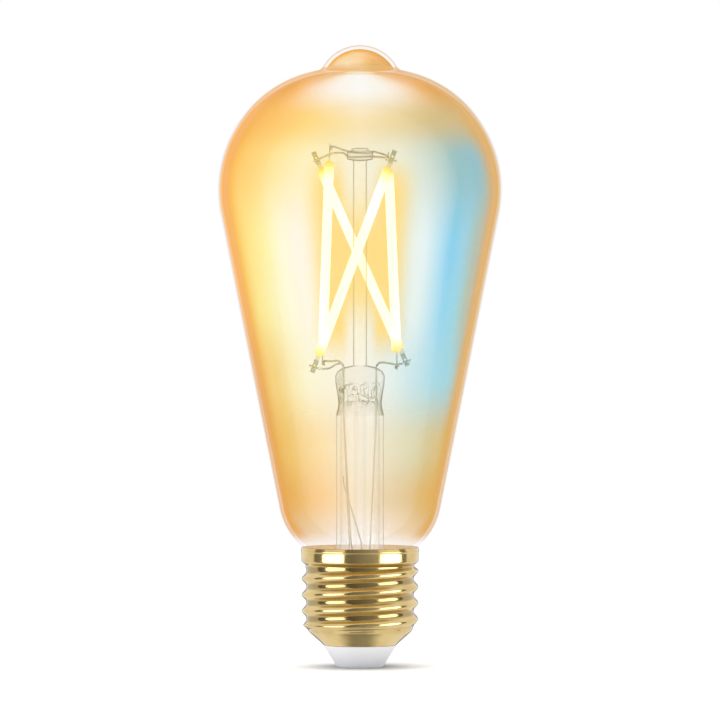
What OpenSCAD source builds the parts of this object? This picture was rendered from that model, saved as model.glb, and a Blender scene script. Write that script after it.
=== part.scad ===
// Filament-style LED light bulb: tapered glass with a round crown, E27 screw cap, driver in the cap.
// Millimetres. The origin is the centre of the flat contact end, and +Z runs up the bulb's axis.
// -Y is the side from which the four filaments show as an N with one crossed diagonal.

/* [Glass] */
// Height from the contact end to the glass tip
bulb_h = 140; // [138:1:142]
// Greatest diameter of the glass
glass_d = 64; // [63:0.5:66]
// Thickness of the blown glass
glass_wall = 0.9; // [0.6:0.1:1.1]
// Angle between the tapered side and the axis
taper_angle = 11.3; // [11:0.1:11.6]
// Radius of the crown's rounded shoulder
crown_r = 27.3; // [26.5:0.1:28]
// Depth of the crown curve's centre below the tip
crown_drop = 32.6; // [32:0.1:33.5]
// Radius of the drawn tip
tip_r = 9.6; // [8.5:0.1:10.5]
// Radius of the hollow curve between tip and crown
tip_fillet_r = 2; // [1:0.5:3]

/* [Screw cap] */
// Diameter over the thread crests
thread_d = 26.4; // [26.1:0.05:26.45]
// Diameter at the thread roots
thread_root_d = 24.2; // [24:0.05:24.35]
// Rise of the thread in one turn
thread_pitch = 3.629; // [3.6:0.001:3.66]
// Height of the cap's plain collar above the contact end
collar_z = 23.2; // [23:0.1:23.4]
// Diameter of the contact end of the insulator
insulator_end_d = 10.3; // [10:0.1:11]
// Diameter of the centre contact
contact_d = 8.8; // [8:0.1:9.4]

/* [Stem] */
// Outer diameter of the glass stem tube
stem_d = 10.7; // [10.5:0.1:11]
// Wall of the glass stem tube
stem_wall = 1; // [0.8:0.1:1]
// Width of the flattened press that seals the leads
press_w = 11.1; // [10.8:0.1:12]
// Thickness of the press
press_t = 5; // [4.6:0.1:6]
// Diameter of the glass rod that carries the upper wires
rod_d = 3.1; // [2.6:0.1:3.4]
// Outer diameter of the exhaust tube
exhaust_d = 2.8; // [2.2:0.1:3]
// Diameter of the lead and bridge wires
wire_d = 0.45; // [0.35:0.05:0.5]

/* [Filaments] */
// Length of a filament over its end tabs
filament_l = 53; // [51:0.5:54]
// Length of the phosphor coating
coat_l = 45; // [40:1:46]
// Diameter of the phosphor coating
coat_d = 2.1; // [1.8:0.1:2.4]
// Light-emitting chips on each filament
chip_count = 28; // [16:1:32]

/* [Driver] */
// Width of the driver board
board_w = 21.8; // [20:0.2:22]
// Thickness of the driver board
board_t = 1; // [0.8:0.1:1.2]
// Diameter of the smoothing capacitor
capacitor_d = 6.2; // [5:0.1:6.3]

/* [Hidden] */
$fn = 72;
FILAMENTS = [1, 2, 3, 4];
FILAMENT_PARTS = ["strip", "coat", "chips", "tabs"];

// Gap left between pieces that are bonded or pressed together
seam = 0.05;

// Glass outline: centres of its curves, and the neck that is hidden in the cap
arc_step = 6;
crown_centre = [glass_d / 2 - crown_r, bulb_h - crown_drop];
tip_centre = [0, bulb_h - tip_r];
neck_curve_r = 14.8;
taper_end_z = 35.6;
neck_r = 11.6;
neck_bottom_z = 20.85;
taper_top = arc_point(crown_centre, crown_r, -taper_angle);
taper_end = [taper_top.x - (taper_top.y - taper_end_z) * tan(taper_angle), taper_end_z];
neck_centre = taper_end - arc_point([0, 0], neck_curve_r, -taper_angle);
fillet_centre = meeting_point(tip_centre, tip_r + tip_fillet_r, crown_centre, crown_r + tip_fillet_r);

// Screw cap: heights up the shell, its sheet and the thread's run-in and run-out
shell_z = 5;
shell_end_r = 8.3;
shell_sheet = 0.3;
shoulder_z = 8.4;
lip_z = 25.9;
rim_z = 27;
rim_bulge = 0.2;
rim_bevel = 0.2;
thread_start_z = 10.8;
thread_run = 1.4;
thread_sides = 36;
thread_levels = 36;
crest_r = thread_d / 2;
root_r = thread_root_d / 2;
bore_r = root_r - shell_sheet - seam;
collar_bore_r = crest_r - shell_sheet;

// Insulator and centre contact
flange_r = 10;
flange_z = 7.8;
contact_t = 0.9;
rivet_r = 1.3;
rivet_head_r = 2;
rivet_top_z = 8.3;

// Stem: the flare at its foot, the press and the button on the rod
flare_r = 7.5;
flare_z = 28;
stem_shoulder_z = 57;
waist_r = 4.8;
waist_z = 59.3;
cavity_top_z = 59.8;
cavity_top_r = 3;
press_top_z = 67.8;
exhaust_wall = 0.5;
exhaust_tip_z = 25.3;
rod_top_z = 114;
button_r = 1.9;
button_top_z = 116.8;
button_flange_r = 2.95;
button_flange_z = [114.2, 116.2];

// Holes that the wires are sealed in, slightly wider than the wires
hole_d = wire_d + 0.06;
lead_x = 3.7;
lead_y = 0.9;
warm_level = 115.75;
cool_level = 114.85;
warm_heading = 54;
cool_heading = -42;
bridge_reach = 3.6;

// Filament ends: the foot is the lower end of its axis, the head only gives its direction
FEET = [[-8.6, 10.3, 68.1], [-10.7, -7.5, 66.3], [10.8, 7.5, 67.8], [8.3, -10.3, 67.1]];
HEADS = [[-6.7, -9.6, 117.8], [7.8, -7.5, 116], [-10.4, 7.5, 115.9], [6.4, 9.6, 116.2]];
INWARD = [[1, 0, 0], [0, 1, 0], [0, -1, 0], [-1, 0, 0]];
tab_l = 3;
tab_t = 0.2;
tab_w = 1.1;
tab_hole_d = 0.5;
strip_w = 1;
strip_t = 0.4;
chip_size = [0.6, 0.25, 0.8];
coat_end = 0.6;
weld_overhang = 1.2;

// Hand-set points between the sealed or soldered end of each wire and its welds
LEAD_WARM = concat(
    [[-2.6, 0.8, 21.2], [-2.6, 0.8, 24.4], [-2.4, 0.9, 27.7], [-lead_x, lead_y, 57], [-lead_x, lead_y, 66.5],
     [-lead_x, lead_y, 67.8], [-4.1, 1.4, 68.4], [-5, 3.2, 69], [-6.6, 6, 68.8]],
    weld(0, 0.4, 1));
LEAD_COOL = concat(
    [[-1.3, 0.8, 21.2], [-1.3, 0.8, 24.4], [-2, 0.2, 27.7], [-lead_x, -lead_y, 57], [-lead_x, -lead_y, 66.5],
     [-lead_x, -lead_y, 67.8], [-4.2, -1.3, 68.4], [-5.4, -2.6, 68.2], [-6.8, -4.4, 67.2]],
    weld(1, 1.3, -1));
LEAD_COMMON = concat(
    [[2, 0.8, 21.2], [2, 0.8, 24.4], [2.3, 0.6, 27.7], [lead_x, 0, 57], [lead_x, 0, 66.5],
     [lead_x, 0, 67.8], [4.3, -0.7, 68.5], [5.3, -2.4, 68.6]],
    weld(3, 0.6, 1),
    [[8.6, -4, 67.8], [8.8, 3.5, 68.3]],
    weld(2, 0.9, -1));
BRIDGE_WARM = concat(
    weld(0, filament_l - 0.8, -1),
    button_pass(warm_heading, warm_level),
    [[3, 4.1, 116.3]],
    weld(3, filament_l - 1.2, 1));
BRIDGE_COOL = concat(
    weld(2, filament_l - 2, 1),
    [[-6.2, 5.2, 116], [-3.6, 3.2, 115.9]],
    button_pass(cool_heading, cool_level),
    weld(1, filament_l - 2.2, 1));
ANTENNA = [[0.3, -1.3, 22.9], [0.3, -1.6, 25], [0.4, -1.9, 27.7], [-3.6, -1.2, 41], [-3.8, -1, 43]];
SHELL_WIRE = [[-9.7, -0.8, 16.2], [-9.7, -0.9, 18.2], [-10, -1, 19.05], [-11.5, -1.2, 19.05]];
wire_sides = 8;
bend_cut = 0.6;
sweep_reference = [1, 0, 0.02];

// Driver in the cap: the sleeve, the board with its tongue in the stem's throat, and what sits on it
sleeve_z = [8.4, 18.6];
sleeve_wall = 0.6;
board_z = [8.9, 18];
tongue_w = 6.8;
tongue_top_z = 24.2;
board_face = board_t / 2;
pad_t = 0.07;
pad_size = [1, pad_t, 1.8];
PADS_BACK = [[-2.6, 22], [-1.3, 22], [2, 22]];
shell_pad_at = [-9.7, 16.7];
wifi_size = [6.4, 0.6, 6.4];
wifi_at = [0, 20.8];
shield_size = [5.2, 1.2, 4.2];
shield_at = [0, 19.9];
capacitor_at = [-6.2, 3.8];
capacitor_z = [9.6, 17.6];
capacitor_leg_z = 9.15;
capacitor_leg_x = 1.3;
leg_r = 0.22;
inductor_at = [5.6, 13.2];
inductor_r = 3;
inductor_core_r = 1.5;
inductor_coil_r = 2.6;
inductor_h = 5.2;
inductor_plate = 0.8;
rectifier_size = [4.8, 1.5, 3.6];
rectifier_at = [-6.6, 15.4];
chip_body_size = [5, 1.4, 4];
chip_body_at = [6.6, 11.6];
transistor_size = [2.6, 1, 1.5];
TRANSISTORS_AT = [[4.4, 16.2], [8.4, 16.2]];
film_size = [5.6, 2.8, 3.6];
film_at = [-6.4, 10.9];
pin_size = [0.4, 0.5, 0.5];
fuse_y = -2.4;
fuse_r = 1.2;
fuse_z = [10.6, 15.6];
fuse_bend_z = [9.4, 16.6];

function arc_point(centre, r, angle) = centre + r * [cos(angle), sin(angle)];

// Points on an arc, both ends included
function arc(centre, r, from, to) =
    let (steps = ceil(abs(to - from) / arc_step))
    [for (k = [0:steps]) arc_point(centre, r, from + (to - from) * k / steps)];

// The outer of the two points at distance ra from a and rb from b
function meeting_point(a, ra, b, rb) =
    let (
        d = norm(b - a),
        u = (b - a) / d,
        along = (ra * ra - rb * rb + d * d) / (2 * d),
        out = sqrt(ra * ra - along * along)
    )
    a + along * u + out * [-u.y, u.x];

function heading(a, b) = atan2(b.y - a.y, b.x - a.x);

// Angle on the neck curve, moved out by grow, at which it has radius r
function neck_angle(r, grow) = -acos((r - neck_centre.x) / (neck_curve_r + grow));

// Half of the glass outline below the tip, moved out by grow, down to the end of the neck
function side_outline(grow, crown_angle) = concat(
    arc(crown_centre, crown_r + grow, crown_angle, -taper_angle),
    arc(neck_centre, neck_curve_r + grow, -taper_angle, neck_angle(neck_r + grow, grow)),
    [[neck_r + grow, neck_bottom_z]]);

function reversed(list) = [for (k = [len(list) - 1:-1:0]) list[k]];

function unit(v) = v / norm(v);

function filament_axis(i) = unit(HEADS[i] - FEET[i]);

function filament_tilt(i) = acos(filament_axis(i).z);

function filament_heading(i) = atan2(filament_axis(i).y, filament_axis(i).x);

// Direction across the flat of filament i's tabs
function tab_side(i) =
    let (t = filament_tilt(i), a = filament_heading(i))
    [cos(t) * cos(a), cos(t) * sin(a), -sin(t)];

// Two points on the inner face of filament i's tab, s along its axis, passed in direction way
function weld(i, s, way) =
    let (at = FEET[i] + s * filament_axis(i) + (tab_t + wire_d) / 2 * INWARD[i])
    [for (k = [-1, 1]) at + k * way * weld_overhang * tab_side(i)];

// The straight stretch of a bridge wire through the button
function button_pass(angle, level) =
    [for (k = [-1, 1]) [k * bridge_reach * cos(angle), k * bridge_reach * sin(angle), level]];

// A point just short of corner a, on the way to b
function before_bend(a, b) = a + unit(b - a) * min(bend_cut, norm(b - a) / 3);

// Cuts each inner corner of a route once, so that the wire bends in two small steps
function eased(p) = concat(
    [p[0]],
    [for (i = [1:len(p) - 2]) each [before_bend(p[i], p[i - 1]), before_bend(p[i], p[i + 1])]],
    [p[len(p) - 1]]);

function route_direction(p, i) = unit(p[min(i + 1, len(p) - 1)] - p[max(i - 1, 0)]);

function wire_ring(p, i, r) =
    let (
        t = route_direction(p, i),
        u = unit(cross(t, sweep_reference)),
        v = cross(t, u)
    )
    [for (k = [0:wire_sides - 1]) p[i] + r * (cos(k * 360 / wire_sides) * u + sin(k * 360 / wire_sides) * v)];

// Radius of the rolled thread at an angle round the shell and a height up it
function thread_radius(angle, z) =
    let (
        from_end = min(z - shoulder_z, collar_z - z),
        grown = min(1, max(0, from_end / thread_run)),
        wave = (1 + cos(360 * (z - thread_start_z) / thread_pitch - angle)) / 2
    )
    root_r + (crest_r - seam - root_r) * wave * grown;

module wire(route, d) {
    p = eased(route);
    n = len(p);
    s = wire_sides;
    points = [for (i = [0:n - 1]) each wire_ring(p, i, d / 2)];
    sides = [for (i = [0:n - 2]) for (k = [0:s - 1])
        let (next = (k + 1) % s)
        each [[i * s + k, (i + 1) * s + k, (i + 1) * s + next], [i * s + k, (i + 1) * s + next, i * s + next]]];
    foot = [[for (k = [0:s - 1]) k]];
    head = [[for (k = [s - 1:-1:0]) (n - 1) * s + k]];
    polyhedron(points = points, faces = concat(foot, sides, head));
}

// A round bar from point a to point b
module bar(a, b, r) {
    translate(a)
        rotate([0, acos((b - a).z / norm(b - a)), heading(a, b)])
            cylinder(r = r, h = norm(b - a), $fn = 24);
}

// A block that stands on the board's front face (side -1) or back face (side 1)
module on_board(size, at, side, lift = 0) {
    translate([at.x, side * (board_face + lift + size.y / 2), at.y])
        cube(size, center = true);
}

module glass_envelope() {
    tip_end = heading(tip_centre, fillet_centre);
    crown_start = heading(crown_centre, fillet_centre);
    color("moccasin", 0.35)
        rotate_extrude()
            polygon(concat(
                arc(tip_centre, tip_r, 90, tip_end),
                arc(fillet_centre, tip_fillet_r, 180 + tip_end, 180 + crown_start),
                side_outline(0, crown_start),
                reversed(side_outline(-glass_wall, 90)),
                [[0, crown_centre.y + crown_r - glass_wall]]));
}

module stem_press() {
    corner = press_t / 2;
    hull() {
        translate([0, 0, waist_z])
            cylinder(r = waist_r, h = 0.2, $fn = 32);
        press_slab(press_w - 0.8, corner, 62, 0.2);
        press_slab(press_w, corner, 64, 1.6);
        press_slab(press_w - 2.6, corner - 0.4, press_top_z - 0.8, 0.1);
        translate([0, 0, press_top_z - 0.1])
            cylinder(r = rod_d / 2 + 0.3, h = 0.1, $fn = 32);
    }
}

module press_slab(width, end_r, z, h) {
    for (side = [-1, 1])
        translate([side * (width / 2 - end_r), 0, z])
            cylinder(r = end_r, h = h, $fn = 32);
}

module glass_stem() {
    outer_r = stem_d / 2;
    inner_r = outer_r - stem_wall;
    flare_centre = [outer_r + flare_r, flare_z];
    flare_end = 180 + acos((flare_centre.x - neck_r) / flare_r);
    flare_inner_end = 180 + acos((flare_centre.x - neck_r) / (flare_r + stem_wall));
    color("beige", 0.5)
        difference() {
            union() {
                rotate_extrude()
                    polygon(concat(
                        [[0, waist_z + 0.1], [waist_r, waist_z + 0.1], [outer_r, stem_shoulder_z]],
                        arc(flare_centre, flare_r, 180, flare_end),
                        reversed(arc(flare_centre, flare_r + stem_wall, 180, flare_inner_end)),
                        [[inner_r, waist_z - 1.5], [0, waist_z - 1.5]]));
                stem_press();
            }
            rotate_extrude()
                polygon([[0, waist_z - 2], [inner_r, waist_z - 2], [inner_r, waist_z - 1.4],
                         [cavity_top_r, cavity_top_z], [0, cavity_top_z]]);
            for (at = [[-lead_x, lead_y], [-lead_x, -lead_y], [lead_x, 0]])
                translate([at.x, at.y, stem_shoulder_z])
                    cylinder(d = hole_d, h = press_top_z - stem_shoulder_z, $fn = 24);
        }
}

module exhaust_tube() {
    r = exhaust_d / 2;
    bore = r - exhaust_wall;
    color("beige", 0.5)
        rotate_extrude()
            polygon(concat(
                [[bore, cavity_top_z], [r, cavity_top_z]],
                arc([0, exhaust_tip_z + r], r, 0, -90),
                arc([0, exhaust_tip_z + r], bore, -90, 0)));
}

module centre_rod() {
    color("beige", 0.5)
        translate([0, 0, press_top_z])
            cylinder(d = rod_d, h = rod_top_z - press_top_z);
}

module rod_button() {
    edge = 0.5;
    color("beige", 0.5)
        difference() {
            rotate_extrude()
                polygon([
                    [0, rod_top_z], [button_r, rod_top_z], [button_r, button_flange_z[0]],
                    [button_flange_r - edge, button_flange_z[0]], [button_flange_r, button_flange_z[0] + edge],
                    [button_flange_r, button_flange_z[1] - edge], [button_flange_r - edge, button_flange_z[1]],
                    [button_r, button_flange_z[1]], [button_r, button_top_z - edge],
                    [button_r - edge, button_top_z], [0, button_top_z]]);
            for (pass = [button_pass(warm_heading, warm_level), button_pass(cool_heading, cool_level)])
                bar(pass[0], pass[1], hole_d / 2);
        }
}

module lead_warm() {
    color("silver")
        wire(LEAD_WARM, wire_d);
}

module lead_cool() {
    color("silver")
        wire(LEAD_COOL, wire_d);
}

module lead_common() {
    color("silver")
        wire(LEAD_COMMON, wire_d);
}

module bridge_wire_warm() {
    color("silver")
        wire(BRIDGE_WARM, wire_d);
}

module bridge_wire_cool() {
    color("silver")
        wire(BRIDGE_COOL, wire_d);
}

module antenna_wire() {
    color("silver")
        wire(ANTENNA, wire_d);
}

module shell_wire() {
    color("silver")
        wire(SHELL_WIRE, wire_d);
}

// Places a piece drawn along +Z, with its flat faces towards +Y and -Y, on filament i
module on_filament(i) {
    translate(FEET[i])
        rotate([0, filament_tilt(i), filament_heading(i)])
            children();
}

module filament_strip_shape() {
    translate([-strip_w / 2, -strip_t / 2, tab_l])
        cube([strip_w, strip_t, filament_l - 2 * tab_l]);
}

module filament_chip_shapes() {
    start = (filament_l - coat_l) / 2 + 1;
    pitch = (coat_l - 2 - chip_size.z) / (chip_count - 1);
    for (k = [0:chip_count - 1])
        translate([-chip_size.x / 2, strip_t / 2, start + k * pitch])
            cube(chip_size);
}

module filament_strip(i) {
    color("whitesmoke")
        on_filament(i)
            filament_strip_shape();
}

module filament_coat(i) {
    start = (filament_l - coat_l) / 2;
    r = coat_d / 2;
    color("gold")
        on_filament(i)
            difference() {
                rotate_extrude($fn = 32)
                    polygon([[0, start], [r - coat_end / 2, start], [r, start + coat_end],
                             [r, start + coat_l - coat_end], [r - coat_end / 2, start + coat_l],
                             [0, start + coat_l]]);
                filament_strip_shape();
                filament_chip_shapes();
            }
}

module filament_chips(i) {
    color("deepskyblue")
        on_filament(i)
            filament_chip_shapes();
}

module filament_tabs(i) {
    color("darkgray")
        on_filament(i)
            for (z = [0, filament_l - tab_l])
                difference() {
                    translate([-tab_w / 2, -tab_t / 2, z])
                        cube([tab_w, tab_t, tab_l]);
                    translate([0, 0, z + tab_l / 2])
                        rotate([90, 0, 0])
                            cylinder(d = tab_hole_d, h = 4 * tab_t, center = true, $fn = 24);
                }
}

// The rolled thread as one closed body, reaching just into the collar
module thread_body() {
    top_z = collar_z + 0.1;
    n = thread_sides;
    level_z = [for (j = [0:thread_levels]) shoulder_z + (top_z - shoulder_z) * j / thread_levels];
    points = [for (z = level_z) for (k = [0:n - 1])
        let (angle = 360 * k / n, r = thread_radius(angle, z))
        [r * cos(angle), r * sin(angle), z]];
    sides = [for (j = [0:thread_levels - 1]) for (k = [0:n - 1])
        let (next = (k + 1) % n)
        each [[j * n + k, (j + 1) * n + k, (j + 1) * n + next], [j * n + k, (j + 1) * n + next, j * n + next]]];
    foot = [[for (k = [0:n - 1]) k]];
    head = [[for (k = [n - 1:-1:0]) thread_levels * n + k]];
    polyhedron(points = points, faces = concat(foot, sides, head));
}

module screw_shell() {
    core_r = root_r - shell_sheet / 2;
    color("goldenrod")
        difference() {
            union() {
                rotate_extrude()
                    polygon([
                        [0, shell_z], [shell_end_r, shell_z], [core_r, shoulder_z], [core_r, collar_z],
                        [crest_r, collar_z], [crest_r, lip_z], [crest_r + rim_bulge, lip_z + 0.3],
                        [crest_r + rim_bulge, rim_z - 0.5], [crest_r, rim_z], [0, rim_z]]);
                thread_body();
            }
            rotate_extrude()
                polygon([
                    [0, shell_z - 1], [shell_end_r - shell_sheet, shell_z - 1],
                    [shell_end_r - shell_sheet, shell_z], [bore_r, shoulder_z],
                    [bore_r, collar_z + shell_sheet], [collar_bore_r, collar_z + 2 * shell_sheet],
                    [collar_bore_r, rim_z - rim_bevel], [crest_r, rim_z], [crest_r, rim_z + 1],
                    [0, rim_z + 1]]);
        }
}

module insulator() {
    spigot_r = shell_end_r - shell_sheet - seam;
    cone_slope = (bore_r - shell_end_r + shell_sheet) / (shoulder_z - shell_z);
    flange_foot_z = shell_z + (flange_r - spigot_r) / cone_slope;
    color("whitesmoke")
        rotate_extrude()
            polygon([
                [contact_d / 2 + seam, 0], [insulator_end_d / 2, 0], [shell_end_r, shell_z - seam],
                [spigot_r, shell_z - seam], [spigot_r, shell_z], [flange_r, flange_foot_z],
                [flange_r, flange_z], [rivet_r + seam, flange_z], [rivet_r + seam, contact_t + seam],
                [contact_d / 2 + seam, contact_t + seam]]);
}

module centre_contact() {
    color("goldenrod")
        rotate_extrude()
            polygon([
                [0, 0], [contact_d / 2, 0], [contact_d / 2, contact_t], [rivet_r, contact_t],
                [rivet_r, flange_z + seam], [rivet_head_r, flange_z + seam], [rivet_head_r, rivet_top_z],
                [0, rivet_top_z]]);
}

module neck_cement() {
    outer_r = collar_bore_r - seam;
    inner_r = neck_r + seam;
    foot_z = collar_z + shell_sheet + seam;
    color("white")
        rotate_extrude()
            polygon(concat(
                [[inner_r, foot_z], [bore_r, foot_z], [outer_r, foot_z + shell_sheet]],
                arc(neck_centre, neck_curve_r + seam, neck_angle(outer_r, seam), neck_angle(inner_r, seam))));
}

module driver_sleeve() {
    outer_r = bore_r - seam;
    color("ivory")
        translate([0, 0, sleeve_z[0]])
            difference() {
                cylinder(r = outer_r, h = sleeve_z[1] - sleeve_z[0]);
                translate([0, 0, -1])
                    cylinder(r = outer_r - sleeve_wall, h = sleeve_z[1] - sleeve_z[0] + 2);
            }
}

module driver_board() {
    color("seagreen")
        rotate([90, 0, 0])
            linear_extrude(height = board_t, center = true) {
                translate([-board_w / 2, board_z[0]])
                    square([board_w, board_z[1] - board_z[0]]);
                translate([-tongue_w / 2, board_z[0]])
                    square([tongue_w, tongue_top_z - board_z[0]]);
            }
}

module solder_pads() {
    color("silver") {
        for (at = PADS_BACK)
            on_board(pad_size, at, 1);
        on_board(pad_size, shell_pad_at, -1);
    }
}

module wifi_board() {
    color("darkgreen")
        on_board(wifi_size, wifi_at, -1);
}

module wifi_shield() {
    color("lightgray")
        on_board(shield_size, shield_at, -1, wifi_size.y);
}

module smoothing_capacitor() {
    at = [capacitor_at.x, capacitor_at.y, 0];
    color("midnightblue")
        union() {
            translate([at.x, at.y, capacitor_z[0]])
                cylinder(d = capacitor_d, h = capacitor_z[1] - capacitor_z[0]);
            for (side = [-1, 1]) {
                leg = at + [side * capacitor_leg_x, -1.8, capacitor_leg_z];
                bar(leg, [leg.x, leg.y, capacitor_z[0] + 0.2], leg_r);
                bar([leg.x, leg.y + leg_r, leg.z], [leg.x, board_face, leg.z], leg_r);
            }
        }
}

// A round layer of the inductor between two distances from the board's back face
module inductor_layer(r, from, to) {
    translate([inductor_at.x, board_face + from, inductor_at.y])
        rotate([-90, 0, 0])
            cylinder(r = r, h = to - from);
}

module inductor_core() {
    color("dimgray") {
        inductor_layer(inductor_r, 0, inductor_plate);
        inductor_layer(inductor_core_r, 0, inductor_h);
        inductor_layer(inductor_r, inductor_h - inductor_plate, inductor_h);
    }
}

module inductor_coil() {
    color("chocolate")
        difference() {
            inductor_layer(inductor_coil_r, inductor_plate + seam, inductor_h - inductor_plate - seam);
            inductor_layer(inductor_core_r + seam, 0, inductor_h);
        }
}

// A chip body held just off the board's front face by a row of pins at its top and bottom edge
module pinned_chip(size, at, pins) {
    lift = 0.15;
    on_board(size, at, -1, lift);
    for (edge = [-1, 1])
        for (k = [0:pins - 1]) {
            x = at.x + size.x * ((k + 0.5) / pins - 0.5);
            on_board(pin_size, [x, at.y + edge * (size.z + pin_size.z - 0.2) / 2], -1);
        }
}

module bridge_rectifier() {
    color("black")
        pinned_chip(rectifier_size, rectifier_at, 2);
}

module driver_chip() {
    color("black")
        pinned_chip(chip_body_size, chip_body_at, 4);
}

module dimming_transistors() {
    color("black")
        for (at = TRANSISTORS_AT)
            pinned_chip(transistor_size, at, 2);
}

module film_capacitor() {
    color("firebrick")
        on_board(film_size, film_at, -1);
}

module fuse_resistor() {
    inside = 0.3;
    color("steelblue") {
        translate([0, fuse_y, fuse_z[0]])
            cylinder(r = fuse_r, h = fuse_z[1] - fuse_z[0]);
        wire([[0, -rivet_head_r / 2, rivet_top_z], [0, -rivet_head_r / 2, rivet_top_z + inside],
              [0, fuse_y, fuse_bend_z[0]],
              [0, fuse_y, fuse_z[0] + inside]], 2 * leg_r);
        wire([[0, fuse_y, fuse_z[1] - inside], [0, fuse_y, fuse_bend_z[1]],
              [0, -board_face, fuse_bend_z[1]]], 2 * leg_r);
    }
}

glass_envelope();
glass_stem();
exhaust_tube();
centre_rod();
rod_button();
lead_warm();
lead_cool();
lead_common();
bridge_wire_warm();
bridge_wire_cool();
antenna_wire();
shell_wire();
for (i = FILAMENTS) {
    filament_strip(i - 1);
    filament_coat(i - 1);
    filament_chips(i - 1);
    filament_tabs(i - 1);
}
screw_shell();
insulator();
centre_contact();
neck_cement();
driver_sleeve();
driver_board();
solder_pads();
wifi_board();
wifi_shield();
smoothing_capacitor();
inductor_core();
inductor_coil();
bridge_rectifier();
driver_chip();
dimming_transistors();
film_capacitor();
fuse_resistor();
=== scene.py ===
"""Looks of a filament LED bulb: amber glass, a glass stem with four lit filaments, and a brass screw cap."""

import math

import bpy
import numpy as np
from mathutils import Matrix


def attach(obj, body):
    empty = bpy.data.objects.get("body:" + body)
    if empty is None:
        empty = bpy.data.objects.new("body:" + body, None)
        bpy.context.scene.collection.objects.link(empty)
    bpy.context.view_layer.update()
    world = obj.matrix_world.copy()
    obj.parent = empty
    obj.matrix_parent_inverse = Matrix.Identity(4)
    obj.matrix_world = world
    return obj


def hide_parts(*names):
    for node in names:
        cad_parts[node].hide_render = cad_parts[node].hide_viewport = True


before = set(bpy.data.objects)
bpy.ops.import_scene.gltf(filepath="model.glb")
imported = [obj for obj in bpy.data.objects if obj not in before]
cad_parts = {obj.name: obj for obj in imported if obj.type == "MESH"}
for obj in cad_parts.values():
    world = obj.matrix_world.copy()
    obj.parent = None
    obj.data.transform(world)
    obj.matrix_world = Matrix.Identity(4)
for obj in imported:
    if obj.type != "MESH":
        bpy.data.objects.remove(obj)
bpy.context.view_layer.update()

MM = 0.001

# ---- Glass envelope, in millimetres -----------------------------------------------------------
CROWN_CENTRE = (4.7, 107.4)
CROWN_R = 27.3
TIP_CENTRE = (0.0, 130.4)
TIP_R = 9.6
TIP_FILLET_R = 2.0
TAPER = 11.3
TAPER_END_Z = 35.6
NECK_CURVE_R = 14.8
NECK_R = 11.6
NECK_BOTTOM_Z = 20.85
WALL = 0.9
TIP_HOLLOW_R = TIP_R - WALL
TIP_FLOOR_R = 7.65

# ---- Screw cap ---------------------------------------------------------------------------------
THREAD_PITCH = 3.629
THREAD_START_Z = 10.8
THREAD_FROM, THREAD_TO, THREAD_RUN = 8.4, 23.2, 1.4
THREAD_RISE = 1.05
THREAD_SHARPNESS = 1.25
SHELL_OUTLINE = [(8.3, 5.0), (9.2, 5.85), (12.1, 8.4), (12.1, 22.9), (13.2, 23.75), (13.2, 25.85),
                 (13.4, 26.15), (13.15, 26.9), (13.05, 27.0), (12.92, 26.85)]
SHELL_BORE = [(12.9, 26.8), (12.9, 23.8), (11.75, 23.5), (11.75, 8.4), (8.0, 5.0)]
INSULATOR_OUTLINE = [(3.0, 0.95), (4.45, 0.95), (4.45, 0.0), (5.15, 0.0), (8.3, 4.95), (7.95, 4.97),
                     (10.0, 6.86), (10.0, 7.8), (1.35, 7.8), (1.35, 0.95), (3.0, 0.95)]

# ---- Stem --------------------------------------------------------------------------------------
STEM_R = 5.35
STEM_WALL = 1.0
FLARE_R = 7.5
FLARE_Z = 28.0
CAVITY_TOP = (3.0, 59.8)
PRESS_TOP_Z = 67.8
ROD_R, ROD_TOP_Z = 1.55, 114.0
EXHAUST_R, EXHAUST_WALL, EXHAUST_TIP_Z = 1.4, 0.5, 25.3
BUTTON_OUTLINE = [(0.0, 114.0), (1.9, 114.0), (1.9, 114.2), (2.95, 114.2), (2.95, 116.2), (1.9, 116.2),
                  (1.9, 116.8), (0.0, 116.8)]

# ---- Filaments and wires -----------------------------------------------------------------------
FEET = np.array([(-8.6, 10.3, 68.1), (-10.7, -7.5, 66.3), (10.8, 7.5, 67.8), (8.3, -10.3, 67.1)])
HEADS = np.array([(-6.7, -9.6, 117.8), (7.8, -7.5, 116.0), (-10.4, 7.5, 115.9), (6.4, 9.6, 116.2)])
INWARD = np.array([(1, 0, 0), (0, 1, 0), (0, -1, 0), (-1, 0, 0)], float)
COAT_FROM, COAT_TO, COAT_R, COAT_END = 4.0, 49.0, 1.05, 0.7
TAB_T = 0.2
WIRE_D = 0.45
WELD_OVERHANG = 1.2
FILAMENT_L = 53.0
WIRE_BEND = 1.1


# ---- Shapes ------------------------------------------------------------------------------------
def turn(degrees):
    """Unit vector in the plane at an angle: (cos a, sin a)."""
    a = np.radians(degrees)
    return np.stack([np.cos(a), np.sin(a)], -1)


def arc(centre, radius, start, end, count):
    """Points centre + radius (cos a, sin a), with a running from start to end in degrees."""
    return np.asarray(centre) + radius * turn(np.linspace(start, end, count))


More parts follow.
